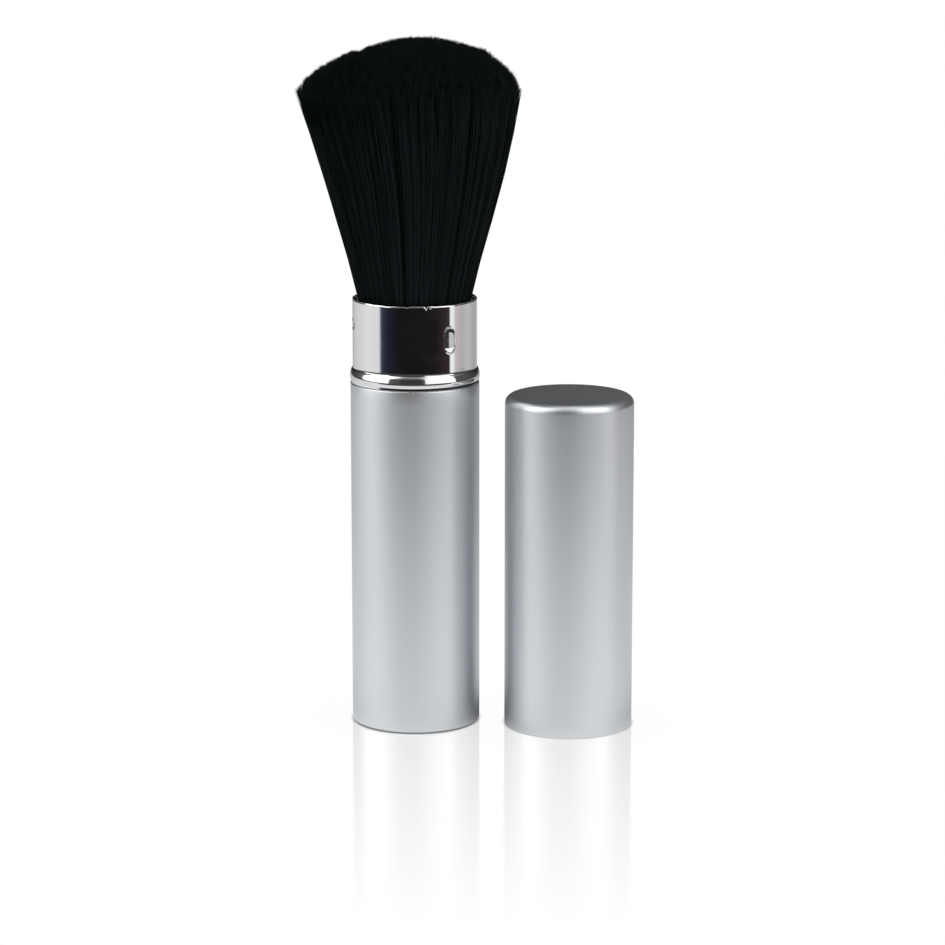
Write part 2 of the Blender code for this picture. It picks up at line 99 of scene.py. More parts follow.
def newMaterial(name, colour, roughness, metallic=0.0):
    material = bpy.data.materials.new(name)
    material.use_nodes = True
    tree = material.node_tree
    shader = tree.nodes["Principled BSDF"]
    shader.inputs["Base Color"].default_value = (*colour, 1)
    shader.inputs["Roughness"].default_value = roughness
    shader.inputs["Metallic"].default_value = metallic
    return material, tree, shader


def objectPlace(tree, scale=(1, 1, 1)):
    place = addNode(tree, "ShaderNodeTexCoord").outputs["Object"]
    if scale == (1, 1, 1):
        return place
    return addNode(tree, "ShaderNodeMapping", {"Vector": place, "Scale": scale}).outputs[0]


def noise(tree, place, scale, detail=3.0, rough=0.5):
    node = addNode(tree, "ShaderNodeTexNoise", {
        "Vector": place, "Scale": scale, "Detail": detail, "Roughness": rough})
    return node.outputs["Fac"]


def addBump(tree, shader, height, strength, distance):
    node = addNode(tree, "ShaderNodeBump", {
        "Height": height, "Strength": strength, "Distance": distance})
    tree.links.new(node.outputs[0], shader.inputs["Normal"])


# Camera: fitted to the edges of the case, the collar and the cap in the picture
view = {
    "place": (9.823 * mm, -588.15 * mm, 166.98 * mm),
    "pitch": 0.207,                  # radians below the horizon
    "lens": 133.33,
    "sensor": 36.0,
}


def makeCamera():
    data = bpy.data.cameras.new("photoCamera")
    data.lens = view["lens"]
    data.sensor_width = view["sensor"]
    data.sensor_fit = "HORIZONTAL"
    data.clip_start = 0.01
    data.clip_end = 20
    camera = bpy.data.objects.new("photoCamera", data)
    scene.collection.objects.link(camera)
    camera.location = view["place"]
    camera.rotation_euler = (math.pi / 2 - view["pitch"], 0, 0)
    scene.camera = camera


makeCamera()
print("scene: camera placed")

# Studio: what the bright metal mirrors, by bearing from the front (- is left, + is right)
studio = {
    "ambient": 0.90,                 # what lights matt surfaces from all round
    "below": [                       # under the horizon: bright at both sides, dark in front
        (-180, 0.34), (-150, 0.60), (-140, 0.68), (-128, 0.74), (-112, 0.80), (-98, 0.88),
        (-80, 0.84),
        (-70.5, 0.84), (-67, 0.62), (-64.8, (0.110, 0.130, 0.180)), (-60, (0.030, 0.036, 0.058)),
        (-48, (0.014, 0.017, 0.028)), (-30, 0.009), (0, 0.009), (40, (0.012, 0.010, 0.012)),
        (60, (0.034, 0.022, 0.028)), (68.0, 0.035), (70.5, 1.05), (78.0, 0.95),
        (81, (0.66, 0.58, 0.59)), (92, (0.56, 0.52, 0.52)), (98, 0.50), (108, 0.54),
        (116, 0.58), (128, 0.52), (138, 0.44), (150, 0.44), (164, 0.50), (180, 0.60)],
    "rim": 0.07,                     # the dark strip between the table and the softboxes
    "level": [                       # from the horizon up: a softbox on each side, else dark
        (-180, 0.012), (-140, 0.03), (-120, 0.10), (-107, 0.18), (-100, 2.8), (-86, 2.5), (-70, 1.8),
        (-49, 1.5), (-45, 0.12), (-20, 0.045), (12, 0.045), (18, 0.12), (21, 1.15), (50, 1.25),
        (64, 2.0), (75, 2.6), (79, 0.10), (105, 0.08), (140, 0.03), (180, 0.012)],
    "above": [                       # higher up: the softboxes reach on, dim in front and behind
        (-180, 0.03), (-136, 0.06), (-104, 0.30), (-92, 3.0), (-70, 2.6),
        (-50, 2.4), (-38, 0.60), (-24, 0.20), (-10, 0.18), (10, 0.18), (24, 0.75), (34, 2.2),
        (60, 2.5), (74, 3.3), (88, 0.35), (136, 0.06), (180, 0.03)],
    "zenith": 0.90,
}


def makeStudio():
    world = bpy.data.worlds.new("studioRoom")
    scene.world = world
    world.use_nodes = True
    tree = world.node_tree
    tree.nodes.clear()
    direction = addNode(tree, "ShaderNodeTexCoord").outputs["Generated"]
    x, y, z = addNode(tree, "ShaderNodeSeparateXYZ", {0: direction}).outputs
    bearing = calc(tree, "ARCTAN2", x, calc(tree, "MULTIPLY", y, -1.0))
    turn = calc(tree, "MULTIPLY_ADD", bearing, 1 / math.tau, 0.5)

    def byBearing(stops):
        return ramp(tree, turn, [((degrees + 180) / 360, colour) for degrees, colour in stops])

    def risingTo(lower, upper, low, high):
        # changes from one band to the next between two elevations, in degrees
        low, high = math.sin(math.radians(low)), math.sin(math.radians(high))
        return mixColour(tree, remap(tree, z, low, high, kind="SMOOTHSTEP"), lower, upper)

    mirrored = risingTo(byBearing(studio["below"]), (studio["rim"],) * 3 + (1,), -7, -4.5)
    mirrored = risingTo(mirrored, byBearing(studio["level"]), -2, 3)
    mirrored = risingTo(mirrored, byBearing(studio["above"]), 24, 42)
    mirrored = risingTo(mirrored, (studio["zenith"],) * 3 + (1,), 60, 78)
    rays = addNode(tree, "ShaderNodeLightPath").outputs
    ambient = (studio["ambient"],) * 3 + (1,)
    seen = mixColour(tree, rays["Is Glossy Ray"], ambient, mirrored)
    white = calc(tree, "MAXIMUM", rays["Is Camera Ray"], rays["Is Singular Ray"])
    seen = mixColour(tree, white, seen, (1, 1, 1, 1))
    background = addNode(tree, "ShaderNodeBackground", {"Color": seen})
    output = addNode(tree, "ShaderNodeOutputWorld")
    tree.links.new(background.outputs[0], output.inputs["Surface"])


makeStudio()

lamps = {                            # place, size and power of each softbox, mm and watts
    "leftSoftbox": {"place": (-500, -380, 220), "size": (360, 520), "power": 1.5},
    "rightSoftbox": {"place": (520, -320, 220), "size": (240, 520), "power": 0.45},
    "topSoftbox": {"place": (20, 60, 640), "size": (520, 420), "power": 0.05},
}
aim = (10 * mm, 0, 55 * mm)


def makeLamps():
    for name, lamp in lamps.items():
        data = bpy.data.lights.new(name, "AREA")
        data.shape = "RECTANGLE"
        data.size, data.size_y = (side * mm for side in lamp["size"])
        data.energy = lamp["power"]
        softbox = bpy.data.objects.new(name, data)
        scene.collection.objects.link(softbox)
        place = [value * mm for value in lamp["place"]]
        softbox.location = place
        across, depth, drop = (a - p for a, p in zip(aim, place))
        level = math.hypot(across, depth)
        softbox.rotation_euler = (math.atan2(level, -drop), 0, math.atan2(-across, depth))
        softbox.visible_glossy = False           # the metal mirrors the studio room instead


makeLamps()
print("scene: studio and lamps ready")

# Table: a flat pale sheet, with a faint mirror image that fades to the front
table = {
    "front": -275.0, "back": 225.0, "half width": 225.0,
    "contact shade": 0.95,           # the dark line where a foot stands on the table
    "contact reach": 0.6,
    "soft shade": 0.05,              # the wide, faint shadow round it
    "soft reach": 14.0,
    "mirrored": [                    # how bright the metal sees it, from the front to the back
        (-275, 0.43), (-120, 0.86), (-12, 0.90), (16, 0.76), (60, 0.82), (120, 0.68), (225, 0.50)],
    "spots": [                       # shaded by the brush and the cap, as metal sees it:
        (13.4, 8.0, 6.5, 18.0, 1.0),    # place, size and shade
        (42.0, 4.0, 8.0, 20.0, 0.35), (-19.0, 2.0, 7.0, 22.0, 0.20)],
    "painted foot shadow": (10.78, 0.26, 0.90), # painted shadow: the dark line under the case's foot, as the foot sees it
    "front dark": (190, 100, 0.95),  # mm out and to the front where the room is dark, and how dark
    "mirror": 0.26,                  # mirror image at the foot of the brush
    "mirror reach": 110.0,           # where the mirror image has faded out, towards the front
    "mirror ripple": 0.004 * mm,     # blurs the mirror image a little
}


def makeTable():
    front, back, half = (table[key] * mm for key in ("front", "back", "half width"))
    points = [(-half, front, 0), (half, front, 0), (half, back, 0), (-half, back, 0)]
    mesh = bpy.data.meshes.new("table_sheet")
    mesh.from_pydata(points, [], [(0, 1, 2, 3)])
    sheet = bpy.data.objects.new("table_sheet", mesh)
    scene.collection.objects.link(sheet)

    material = bpy.data.materials.new("paleTable")
    material.use_nodes = True
    tree = material.node_tree
    tree.nodes.clear()
    rays = addNode(tree, "ShaderNodeLightPath").outputs
    camera, glossy = rays["Is Camera Ray"], rays["Is Glossy Ray"]
    x, y, z = addNode(tree, "ShaderNodeSeparateXYZ", {0: objectPlace(tree)}).outputs

    def openness(reach, shade, samples):
        # 1 in the open, down to 1 - shade where the object stands over the table
        node = addNode(tree, "ShaderNodeAmbientOcclusion", {"Distance": reach * mm}, samples=samples)
        return calc(tree, "MULTIPLY_ADD", node.outputs["AO"], shade, 1 - shade)

    white = calc(tree, "MULTIPLY", openness(table["contact reach"], table["contact shade"], 12),
                 openness(table["soft reach"], table["soft shade"], 12))

    def bell(value, middle, size):
        # 1 at the middle, falling to 0 beyond the size on both sides
        away = calc(tree, "DIVIDE", calc(tree, "SUBTRACT", value, middle * mm), size * mm)
        return calc(tree, "EXPONENT", calc(tree, "MULTIPLY", calc(tree, "MULTIPLY", away, away), -1.0))

    depth = remap(tree, y, table["front"] * mm, table["back"] * mm)
    length = table["back"] - table["front"]
    dimmed = ramp(tree, depth, [((place - table["front"]) / length, value)
                                for place, value in table["mirrored"]])
    for across, along, width, reach, shade in table["spots"]:
        spot = calc(tree, "MULTIPLY", bell(x, across, width), bell(y, along, reach))
        dimmed = calc(tree, "MULTIPLY", dimmed, calc(tree, "MULTIPLY_ADD", spot, -shade, 1.0))
    # painted shadow: the table darkened in a ring under the case's foot, as the metal sees it
    middle, size, shade = table["painted foot shadow"]
    out = addNode(tree, "ShaderNodeVectorMath", {
        0: addNode(tree, "ShaderNodeCombineXYZ", {0: x, 1: y}).outputs[0]},
        operation="LENGTH").outputs["Value"]
    ring = bell(out, middle, size)
    dimmed = calc(tree, "MULTIPLY", dimmed, calc(tree, "MULTIPLY_ADD", ring, -shade, 1.0))
    near, wide, shade = table["front dark"]
    front = calc(tree, "MULTIPLY", remap(tree, out, near * mm, near * 1.3 * mm),
                 remap(tree, y, -wide * 1.4 * mm, -wide * mm, 1.0, 0.0))
    dimmed = calc(tree, "MULTIPLY", dimmed, calc(tree, "MULTIPLY_ADD", front, -shade, 1.0))
    strength = calc(tree, "MULTIPLY_ADD", camera, white, calc(tree, "MULTIPLY", dimmed, glossy))
    lift = addNode(tree, "ShaderNodeEmission", {"Strength": strength})
    diffuse = addNode(tree, "ShaderNodeBsdfDiffuse", {"Color": (0.80, 0.80, 0.80, 1)})
    lit = calc(tree, "MAXIMUM", camera, glossy)
    base = addNode(tree, "ShaderNodeMixShader", {
        0: lit, 1: diffuse.outputs[0], 2: lift.outputs[0]})
    fade = remap(tree, y, -table["mirror reach"] * mm, 0.0, 0.0, table["mirror"])
    fade = calc(tree, "MULTIPLY", fade, camera)
    ripple = addNode(tree, "ShaderNodeBump", {
        "Height": noise(tree, objectPlace(tree), 4000.0), "Distance": table["mirror ripple"]})
    gloss = addNode(tree, "ShaderNodeBsdfGlossy", {
        "Color": (1, 1, 1, 1), "Roughness": 0.0, "Normal": ripple.outputs[0]})
    mixed = addNode(tree, "ShaderNodeMixShader", {
        0: fade, 1: base.outputs[0], 2: gloss.outputs[0]})
    output = addNode(tree, "ShaderNodeOutputMaterial")
    tree.links.new(mixed.outputs[0], output.inputs["Surface"])
    mesh.materials.append(material)


makeTable()
print("scene: table laid")


# Finishes of the metal
satin = {
    "colour": (0.722, 0.745, 0.772), "roughness": 0.41, "metal": 0.98,
    "grain": 5200.0,                 # per metre, the lacquer's fine grain
    "grain depth": 0.010 * mm,
    "specks": 190.0,                 # per metre, places where a dust speck may lie
    "speck share": 0.055,
}


def makeSatin():
    material, tree, shader = newMaterial("satinLacquer", satin["colour"], satin["roughness"], satin["metal"])
    place = objectPlace(tree)
    drawn = objectPlace(tree, (1, 1, 0.02))      # long streaks up the drawn tube
    grain = noise(tree, place, satin["grain"], 2.0, 0.6)
    streaks = noise(tree, drawn, 900.0, 3.0, 0.6)
    clouds = noise(tree, place, 60.0, 3.0, 0.5)
    tone = calc(tree, "MULTIPLY_ADD", calc(tree, "SUBTRACT", streaks, 0.5), 0.035, 1.0)
    tone = calc(tree, "MULTIPLY_ADD", calc(tree, "SUBTRACT", grain, 0.5), 0.10, tone)
    cells = addNode(tree, "ShaderNodeTexVoronoi", {
        "Vector": place, "Scale": satin["specks"], "Randomness": 1.0})
    near = remap(tree, cells.outputs["Distance"], 0.012, 0.024, 1.0, 0.0, "SMOOTHSTEP")
    chosen = addNode(tree, "ShaderNodeSeparateColor", {0: cells.outputs["Color"]}).outputs[0]
    chosen = calc(tree, "LESS_THAN", chosen, satin["speck share"])
    speck = calc(tree, "MULTIPLY", near, chosen)
    colour = addNode(tree, "ShaderNodeHueSaturation", {
        "Value": tone, "Color": (*satin["colour"], 1)}).outputs[0]
    colour = mixColour(tree, calc(tree, "MULTIPLY", speck, 0.75), colour, (0.10, 0.09, 0.09, 1))
    tree.links.new(colour, shader.inputs["Base Color"])
    rough = remap(tree, clouds, 0.3, 0.7, satin["roughness"] - 0.02, satin["roughness"] + 0.02)
    rough = calc(tree, "MULTIPLY_ADD", speck, 0.3, rough)
    tree.links.new(rough, shader.inputs["Roughness"])
    addBump(tree, shader, grain, 0.30, satin["grain depth"])
    return material


chrome = {
    "colour": (0.80, 0.805, 0.82), "roughness": 0.045,
    "waves": 130.0,                  # per metre, the soft waves that drawing leaves in the wall
    "wave depth": 0.010 * mm,
}


def makeChrome():
    material, tree, shader = newMaterial("mirrorChrome", chrome["colour"], chrome["roughness"], 1.0)
    place = objectPlace(tree)
    waves = noise(tree, objectPlace(tree, (1, 1, 0.6)), chrome["waves"], 2.0, 0.5)
    hair = noise(tree, objectPlace(tree, (0.15, 0.15, 1)), 9000.0, 2.0, 0.6)   # polishing lines
    smudge = noise(tree, place, 320.0, 4.0, 0.6)
    rough = remap(tree, smudge, 0.45, 0.75, chrome["roughness"], chrome["roughness"] + 0.07)
    tree.links.new(rough, shader.inputs["Roughness"])
    tone = calc(tree, "MULTIPLY_ADD", calc(tree, "SUBTRACT", hair, 0.5), 0.05, 1.0)
    colour = addNode(tree, "ShaderNodeHueSaturation", {
        "Value": tone, "Color": (*chrome["colour"], 1)}).outputs[0]
    tree.links.new(colour, shader.inputs["Base Color"])
    addBump(tree, shader, waves, 1.0, chrome["wave depth"])
    return material


def makeRawCut():
    # the cut edge of a tube: bare, torn and brighter than its walls
    material, tree, shader = newMaterial("rawCutEdge", (0.86, 0.85, 0.83), 0.42, 1.0)
    place = objectPlace(tree)
    tears = noise(tree, place, 2600.0, 4.0, 0.7)
    tone = remap(tree, tears, 0.35, 0.65, 0.55, 1.05)
    colour = addNode(tree, "ShaderNodeHueSaturation", {
        "Value": tone, "Color": (0.86, 0.85, 0.83, 1)}).outputs[0]
    tree.links.new(colour, shader.inputs["Base Color"])
    tree.links.new(remap(tree, tears, 0.3, 0.7, 0.30, 0.55), shader.inputs["Roughness"])
    addBump(tree, shader, tears, 0.6, 0.03 * mm)
    return material


def makeCreaseShade():
    # painted shade: dark chrome on the pinched wall above a dimple and in one side of the groove under the
    # bead, with a blotchy tone
    material, tree, shader = newMaterial("paintedCreaseShade", (0.03, 0.03, 0.034), 0.40, 1.0)
    blotches = noise(tree, objectPlace(tree), 3200.0, 3.0, 0.7)
    shade = mixColour(tree, remap(tree, blotches, 0.35, 0.70), (0.018, 0.017, 0.020, 1),
                      (0.070, 0.068, 0.076, 1))
    tree.links.new(shade, shader.inputs["Base Color"])
    addBump(tree, shader, blotches, 0.5, 0.02 * mm)
    return material


def makeDentShadedChrome():
    # inside a dent the plating is stretched and rougher, and its colour is darker as painted shade
    material, tree, shader = newMaterial("dentShadedChrome", (0.55, 0.555, 0.57), 0.13, 1.0)
    grain = noise(tree, objectPlace(tree), 2400.0, 3.0, 0.6)
    tree.links.new(remap(tree, grain, 0.3, 0.7, 0.09, 0.17), shader.inputs["Roughness"])
    tone = calc(tree, "MULTIPLY_ADD", calc(tree, "SUBTRACT", grain, 0.5), 0.16, 1.0)
    colour = addNode(tree, "ShaderNodeHueSaturation", {
        "Value": tone, "Color": (0.55, 0.555, 0.57, 1)}).outputs[0]
    tree.links.new(colour, shader.inputs["Base Color"])
    addBump(tree, shader, grain, 0.4, 0.012 * mm)
    return material


satinLacquer = makeSatin()
mirrorChrome = makeChrome()
rawCutEdge = makeRawCut()
paintedCreaseShade = makeCreaseShade()
dentShadedChrome = makeDentShadedChrome()


def plasticFinish(name, colour, roughness, grain, depth, mottle=0.06):
    material, tree, shader = newMaterial(name, colour, roughness)
    place = objectPlace(tree)
    pebbles = noise(tree, place, grain, 3.0, 0.6)
    flow = noise(tree, objectPlace(tree, (1, 1, 0.25)), 140.0, 3.0, 0.5)
    tone = calc(tree, "MULTIPLY_ADD", calc(tree, "SUBTRACT", flow, 0.5), mottle * 2, 1.0)
    shade = addNode(tree, "ShaderNodeHueSaturation", {
        "Value": tone, "Color": (*colour, 1)}).outputs[0]
    tree.links.new(shade, shader.inputs["Base Color"])
    tree.links.new(remap(tree, pebbles, 0.3, 0.7, roughness - 0.06, roughness + 0.08),
                   shader.inputs["Roughness"])
    addBump(tree, shader, pebbles, 0.5, depth)
    return material


def makeBareAluminium():
    material, tree, shader = newMaterial("bareAluminium", (0.72, 0.72, 0.73), 0.36, 1.0)
    lines = noise(tree, objectPlace(tree, (1, 1, 0.015)), 2400.0, 3.0, 0.6)
    tone = calc(tree, "MULTIPLY_ADD", calc(tree, "SUBTRACT", lines, 0.5), 0.22, 1.0)
    shade = addNode(tree, "ShaderNodeHueSaturation", {
        "Value": tone, "Color": (0.72, 0.72, 0.73, 1)}).outputs[0]
    tree.links.new(shade, shader.inputs["Base Color"])
    tree.links.new(remap(tree, lines, 0.3, 0.7, 0.28, 0.46), shader.inputs["Roughness"])
    addBump(tree, shader, lines, 0.5, 0.01 * mm)
    return material


def makeResin():
    material, tree, shader = newMaterial("amberResin", (0.35, 0.19, 0.05), 0.18)
    shader.inputs["Coat Weight"].default_value = 0.4
    place = objectPlace(tree)
    swirl = noise(tree, place, 420.0, 4.0, 0.6)
    bubbles = addNode(tree, "ShaderNodeTexVoronoi", {"Vector": place, "Scale": 1400.0})
    pits = remap(tree, bubbles.outputs["Distance"], 0.05, 0.22, 0.0, 1.0, "SMOOTHSTEP")
    shade = mixColour(tree, swirl, (0.24, 0.12, 0.03, 1), (0.46, 0.27, 0.08, 1))
    tree.links.new(shade, shader.inputs["Base Color"])
    addBump(tree, shader, pits, 0.4, 0.05 * mm)
    return material


innerFinishes = {                    # CAD nodes whose shape is right and stays
    "base_plug": plasticFinish("mouldedBlack", (0.022, 0.022, 0.023), 0.42, 2600.0, 0.02 * mm),
    "friction_ring": plasticFinish("mouldedRubber", (0.030, 0.030, 0.033), 0.70, 3800.0, 0.03 * mm),
    "spiral_sleeve": plasticFinish("slidePlastic", (0.74, 0.73, 0.69), 0.34, 1800.0, 0.012 * mm, 0.03),
    "ferrule": makeBareAluminium(),
    "root_plug": makeResin(),
}
innerFinishes["guide_tube"] = innerFinishes["spiral_sleeve"]
innerFinishes["head_carrier"] = innerFinishes["spiral_sleeve"]
for node, finish in innerFinishes.items():
    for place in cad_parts[node].material_slots:
        place.material = finish
print("scene: finishes ready")


def openTree(name, inputs):
    # a geometry node tree with named inputs: name -> (socket type, value)
    tree = bpy.data.node_groups.new(name, "GeometryNodeTree")
    tree.interface.new_socket("Geometry", in_out="INPUT", socket_type="NodeSocketGeometry")
    for label, (kind, value) in inputs.items():
        socket = tree.interface.new_socket(label, in_out="INPUT", socket_type=kind)
        if value is not None:
            socket.default_value = value
    tree.interface.new_socket("Geometry", in_out="OUTPUT", socket_type="NodeSocketGeometry")
    return tree, addNode(tree, "NodeGroupInput").outputs


def closeTree(tree, geometry, material):
    smooth = addNode(tree, "GeometryNodeSetShadeSmooth", {"Geometry": geometry})
    real = addNode(tree, "GeometryNodeRealizeInstances", {"Geometry": smooth.outputs[0]})
    finished = addNode(tree, "GeometryNodeSetMaterial", {
        "Geometry": real.outputs[0], "Material": material})
    addNode(tree, "NodeGroupOutput", {"Geometry": finished.outputs[0]})


def grow(name, points, edges, tree, values):
    # runs a tree over a wire of points and keeps the result as a plain mesh
    wire = bpy.data.meshes.new(name + "_wire")
    wire.from_pydata(points, edges, [])
    source = bpy.data.objects.new(name + "_wire", wire)
    scene.collection.objects.link(source)
    modifier = source.modifiers.new("nodes", "NODES")
    modifier.node_group = tree
    for item in tree.interface.items_tree:
        if item.in_out == "INPUT" and item.name in values:
            modifier[item.identifier] = values[item.name]
    bpy.context.view_layer.update()
    graph = bpy.context.evaluated_depsgraph_get()
    mesh = bpy.data.meshes.new_from_object(source.evaluated_get(graph))
    mesh.name = name
    bpy.data.objects.remove(source)
    piece = bpy.data.objects.new(name, mesh)
    scene.collection.objects.link(piece)
    return piece


# Turned shells: a section swept round the axis
def makeTurnedTree():
    tree, given = openTree("turnedShell", {
        "Sweep Radius": ("NodeSocketFloat", 0.01),
        "Segments": ("NodeSocketInt", 256),
        "Weld": ("NodeSocketFloat", 0.002 * mm),
        "Finish": ("NodeSocketMaterial", None),
    })
    section = addNode(tree, "GeometryNodeMeshToCurve", {0: given["Geometry"]})
    circle = addNode(tree, "GeometryNodeCurvePrimitiveCircle", {
        "Resolution": given["Segments"], "Radius": given["Sweep Radius"]})
    turned = addNode(tree, "GeometryNodeCurveToMesh", {
        "Curve": circle.outputs[0], "Profile Curve": section.outputs[0]})
    welded = addNode(tree, "GeometryNodeMergeByDistance", {
        "Geometry": turned.outputs[0], "Distance": given["Weld"]})
    closeTree(tree, welded.outputs[0], given["Finish"])
    return tree


turnedShell = makeTurnedTree()
sweepRadius = 10.0                   # mm, any radius does: the section is set off from it


def turn(name, section, finish, segments=256, closed=True):
    # section: (radius, height) in mm, run down the outside so that faces point outwards
    points = [((radius - sweepRadius) * mm, -height * mm, 0) for radius, height in section]
    edges = [(i, i + 1) for i in range(len(points) - 1)]
    if closed:
        edges.append((len(points) - 1, 0))
    return grow(name, points, edges, turnedShell, {
        "Sweep Radius": sweepRadius * mm, "Segments": segments, "Finish": finish})


def arc(radius, height, size, start, end, steps):
    points = []
    for i in range(steps + 1):
        angle = math.radians(start + (end - start) * i / steps)
        points.append((radius + size * math.cos(angle), height + size * math.sin(angle)))
    return points


def line(first, last, pitch):
    # points between two corners, both left out
    steps = max(1, round(math.dist(first, last) / pitch))
    return [tuple(a + (b - a) * i / steps for a, b in zip(first, last)) for i in range(1, steps)]


def moved(mesh, change):
    # moves every point of a mesh by a function of its radius, bearing and height, in mm
    points = np.zeros(len(mesh.vertices) * 3, np.float32)
    mesh.vertices.foreach_get("co", points)
    points = points.reshape(-1, 3).astype(float)
    radius = np.hypot(points[:, 0], points[:, 1]) / mm
    bearing = np.arctan2(points[:, 0], -points[:, 1])      # from the front towards the right
    radius, bearing, height = change(radius, bearing, points[:, 2] / mm)
    points[:, 0] = radius * mm * np.sin(bearing)
    points[:, 1] = -radius * mm * np.cos(bearing)
    points[:, 2] = height * mm
    mesh.vertices.foreach_set("co", points.astype(np.float32).ravel())
    mesh.update()


def valueAt(pairs, value):
    return np.interp(value, [p[0] for p in pairs], [p[1] for p in pairs])


# Case: drawn tube with a rolled foot and a cut mouth
case = {
    "radius": 11.0, "wall": 0.4, "height": 59.5, "foot": 0.5, "mouth edge": 0.20,
    "segments": 256,
}


def makeCase():
    outer, wall, top = case["radius"], case["wall"], case["height"]
    foot, edge = case["foot"], case["mouth edge"]
    inner = outer - wall
    section = arc(outer - edge, top - edge, edge, 90, 0, 4)
    section += line((outer, top - edge), (outer, foot), 2.0)
    section += arc(outer - foot, foot, foot, 0, -90, 8)
    section += arc(outer - foot, foot, foot - wall, -90, 0, 4)
    section += line((inner, foot), (inner, top - edge), 4.0)
    section += arc(inner + edge, top - edge, edge, 180, 90, 4)
    tube = turn("case_tube", section, satinLacquer, case["segments"])
    tube.data.materials.append(rawCutEdge)
    for face in tube.data.polygons:
        middle = face.center
        if middle.z > (top - edge * 0.6) * mm:
            face.material_index = 1
    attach(tube, "case")
    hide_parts("body_shell")
    return tube


makeCase()
print("scene: case turned")

# Cap: deep-drawn cup, mouth down, beside the case
cap = {
    "radius": 11.0, "wall": 0.35, "height": 57.9, "edge": 1.5, "crown": 0.25, "mouth edge": 0.08,
    "segments": 256,
}
low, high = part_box("cap_shell")
cap["place"] = ((low.x + high.x) / 2, (low.y + high.y) / 2)


def makeCap():
    outer, wall, top = cap["radius"], cap["wall"], cap["height"]
    edge, lip, crown = cap["edge"], cap["mouth edge"], cap["crown"]
    inner = outer - wall
    flat = outer - edge
    section = []
    for i in range(13):                          # a slightly crowned top
        share = i / 12
        section.append((flat * share, top - crown * share ** 2))
    section[0] = (0.0, top)
    corner = arc(flat, top - crown - edge, edge, 90, 0, 16)
    section += corner[1:]
    section += line((outer, top - crown - edge), (outer, lip), 2.0)
    section += arc(outer - lip, lip, lip, 0, -90, 3)
    section += arc(inner + lip, lip, lip, -90, -180, 3)
    section += line((inner, lip), (inner, top - crown - edge), 3.0)
    section += arc(flat, top - crown - edge, edge - wall, 0, 90, 10)
    section += line((flat, top - crown - wall), (0.0, top - crown - wall), 2.0)
    section.append((0.0, top - crown - wall))
    cup = turn("cap_cup", section, satinLacquer, cap["segments"], closed=False)
    points = np.zeros(len(cup.data.vertices) * 3, np.float32)
    cup.data.vertices.foreach_get("co", points)
    points = points.reshape(-1, 3)
    points[:, 0] += cap["place"][0]
    points[:, 1] += cap["place"][1]
    cup.data.vertices.foreach_set("co", points.ravel())
    cup.data.update()
    cup.data.materials.append(rawCutEdge)
    for face in cup.data.polygons:
        if face.center.z < lip * 0.5 * mm:
            face.material_index = 1
    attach(cup, "cap")
    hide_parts("cap_shell")


makeCap()
print("scene: cap drawn")

# Collar: one chrome tube with a rolled bead, a raw cut rim and three punched dimples
collar = {
    "radius": 10.6, "wall": 0.35, "rim": 73.95, "skirt radius": 10.3, "skirt foot": 52.9,
    "bead top": 62.0, "bead fullest": 60.75, "bead foot": 60.02, "bead radius": 11.08,
    "bead slant": 0.22,              # 0 for a round upper side, 1 for a straight cone
    "heel radius": 10.90, "heel foot": 59.57,
    "segments": 480,
    "dimples": [                     # bearing, height, size, how tall, how low the painted shade of its crease reaches
        (34.8, 67.8, 1.0, 1.0, 0.72), (154.8, 67.7, 1.1, 1.0, 0.6), (278.8, 69.6, 0.9, 0.48, -2.0)],
    "dimple half width": 1.55, "dimple half height": 2.2,
    "dimple flat": (0.78, 0.40, 0.20, 0.92),  # how far it stays flat: up, left, right and down
    "dimple floor": (0.030, 0.052),  # depth of its flat upper part, at the left and right
    "dimple profile": [              # place from its foot to its top -> 1 for the floor's depth
        (-1.0, -1.0), (-0.90, -1.0), (-0.60, 0.0), (-0.53, 1.0), (1.0, 1.0)],
    "dimple foot": 0.10,             # how far it stands proud where the profile is -1
}


def beadSection(steps, inset=0.0):
    # the rolled bead from its top down to the narrow heel that it stands on
    points = []
    top, fullest, foot = collar["bead top"], collar["bead fullest"], collar["bead foot"]
    heel, widest = collar["heel radius"], collar["bead radius"]
    slant = collar["bead slant"]
    for i in range(steps + 1):
        angle = math.pi / 2 * i / steps
        drop = 1 - math.cos(angle)
        swell = math.sin(angle) * (1 - slant) + drop * slant
        points.append((collar["radius"] + (widest - collar["radius"]) * swell - inset,
                       top - (top - fullest) * drop))
    for i in range(1, steps + 1):
        angle = math.pi / 2 * i / steps
        points.append((heel + (widest - heel) * math.cos(angle) - inset,
                       fullest - (fullest - foot) * math.sin(angle)))
    return points


def dimpleReach(degrees, middle, tall, bearing, height):
    # place in a dimple in half widths and heights, and 1 at its edge
    away = (bearing - math.radians(degrees) + math.pi) % math.tau - math.pi
    across = away * collar["radius"] / collar["dimple half width"]
    up = (height - middle) / (collar["dimple half height"] * tall)
    return across, up, np.hypot(across, up)


